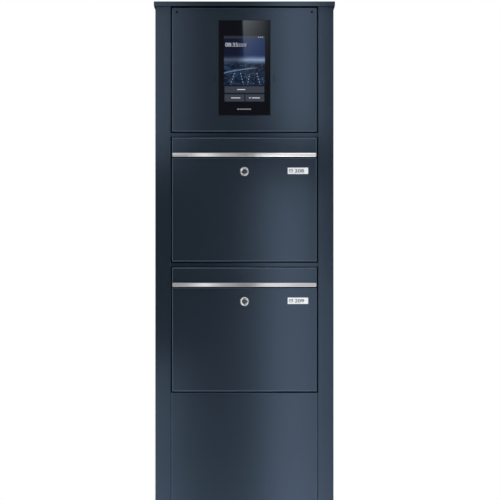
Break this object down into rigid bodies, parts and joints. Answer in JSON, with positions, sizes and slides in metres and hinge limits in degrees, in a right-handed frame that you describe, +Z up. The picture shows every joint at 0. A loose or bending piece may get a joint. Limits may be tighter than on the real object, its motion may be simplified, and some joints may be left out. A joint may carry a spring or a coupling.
{
  "type": "cluster mailbox unit",
  "caption": "Free-standing steel mailbox column with a roof cap, touch-display door station, slot flaps with bar grips, drop-down locking doors and a blank lower panel.",
  "frame": {"origin": "on the ground under the middle of the column's box", "axes": "+Z up, the front with doors and display faces -Y, +X to the right as seen from the front"},
  "size_m": [0.46, 0.216, 1.6],
  "materials": {
    "anthracite_paint": "fine-texture matt powder coat",
    "stainless": "brushed along its length",
    "zinc_steel": "galvanised sheet and zinc-plated fixings",
    "dark_steel": "blackened screws",
    "lock_chrome": "satin chrome",
    "black_glass": "glossy black printed glass",
    "screen": "lit touch display",
    "black_plastic": "moulded",
    "rubber": "matt",
    "circuit_green": "solder-masked board",
    "terminal_plastic": "moulded",
    "white_card": "printed card",
    "clear_plastic": "clear polycarbonate"
  },
  "bodies": {
    "cabinet": {"left_post": "anthracite_paint", "right_post": "anthracite_paint", "roof_cap": "anthracite_paint", "upper_rail": "anthracite_paint", "middle_rail": "anthracite_paint", "base_plate": "anthracite_paint", "cable_grommet": "rubber", "back_panel": "anthracite_paint", "lower_front_panel": "anthracite_paint", "cover_screws": "dark_steel", "base_bolts": "zinc_steel", "frame_nuts": "zinc_steel", "module_rivets": "zinc_steel", "hinge_pins": "dark_steel", "flap_rods": "dark_steel", "rubber_bumpers": "rubber", "letter_stops": "zinc_steel", "station_frame": "anthracite_paint", "box1_front_frame": "anthracite_paint", "box1_shell": "zinc_steel", "box1_mail_chute": "zinc_steel", "box2_front_frame": "anthracite_paint", "box2_shell": "zinc_steel", "box2_mail_chute": "zinc_steel"},
    "service_panel": {"station_panel": "anthracite_paint", "station_gasket": "rubber", "station_bezel": "black_plastic", "station_glass": "black_glass", "display_module": "screen", "station_housing": "black_plastic", "rear_cover": "black_plastic", "circuit_board": "circuit_green", "camera_module": "black_plastic", "loudspeaker": "black_plastic", "microphone": "black_plastic", "terminal_block": "terminal_plastic", "station_nuts": "zinc_steel", "panel_screws": "dark_steel"},
    "flap_1": {"box1_flap": "anthracite_paint", "box1_handle_bar": "stainless", "box1_bar_screws": "zinc_steel"},
    "door_1": {"box1_door": "anthracite_paint", "box1_lock_housing": "lock_chrome", "box1_lock_nut": "lock_chrome", "box1_nameplate_card": "white_card", "box1_nameplate_holder": "clear_plastic"},
    "lock_1": {"box1_lock_plug": "lock_chrome", "box1_lock_cam": "zinc_steel", "box1_cam_screw": "zinc_steel"},
    "flap_2": {"box2_flap": "anthracite_paint", "box2_handle_bar": "stainless", "box2_bar_screws": "zinc_steel"},
    "door_2": {"box2_door": "anthracite_paint", "box2_lock_housing": "lock_chrome", "box2_lock_nut": "lock_chrome", "box2_nameplate_card": "white_card", "box2_nameplate_holder": "clear_plastic"},
    "lock_2": {"box2_lock_plug": "lock_chrome", "box2_lock_cam": "zinc_steel", "box2_cam_screw": "zinc_steel"}
  },
  "joints": [
    {"name": "service_panel_hinge", "type": "hinge", "parent": "cabinet", "child": "service_panel", "pos_m": [0, -0.0965, 1.275], "axis": [1, 0, 0], "range_deg": [0, 85]},
    {"name": "flap_1_hinge", "type": "hinge", "parent": "cabinet", "child": "flap_1", "pos_m": [0, -0.0975, 1.25], "axis": [-1, 0, 0], "range_deg": [0, 80]},
    {"name": "door_1_hinge", "type": "hinge", "parent": "cabinet", "child": "door_1", "pos_m": [0, -0.0965, 0.945], "axis": [1, 0, 0], "range_deg": [0, 95]},
    {"name": "lock_1_turn", "type": "hinge", "parent": "door_1", "child": "lock_1", "pos_m": [0, -0.0925, 1.1682], "axis": [0, 1, 0], "range_deg": [0, 90]},
    {"name": "flap_2_hinge", "type": "hinge", "parent": "cabinet", "child": "flap_2", "pos_m": [0, -0.0975, 0.92], "axis": [-1, 0, 0], "range_deg": [0, 80]},
    {"name": "door_2_hinge", "type": "hinge", "parent": "cabinet", "child": "door_2", "pos_m": [0, -0.0965, 0.615], "axis": [1, 0, 0], "range_deg": [0, 95]},
    {"name": "lock_2_turn", "type": "hinge", "parent": "door_2", "child": "lock_2", "pos_m": [0, -0.0925, 0.8382], "axis": [0, 1, 0], "range_deg": [0, 90]}
  ]
}
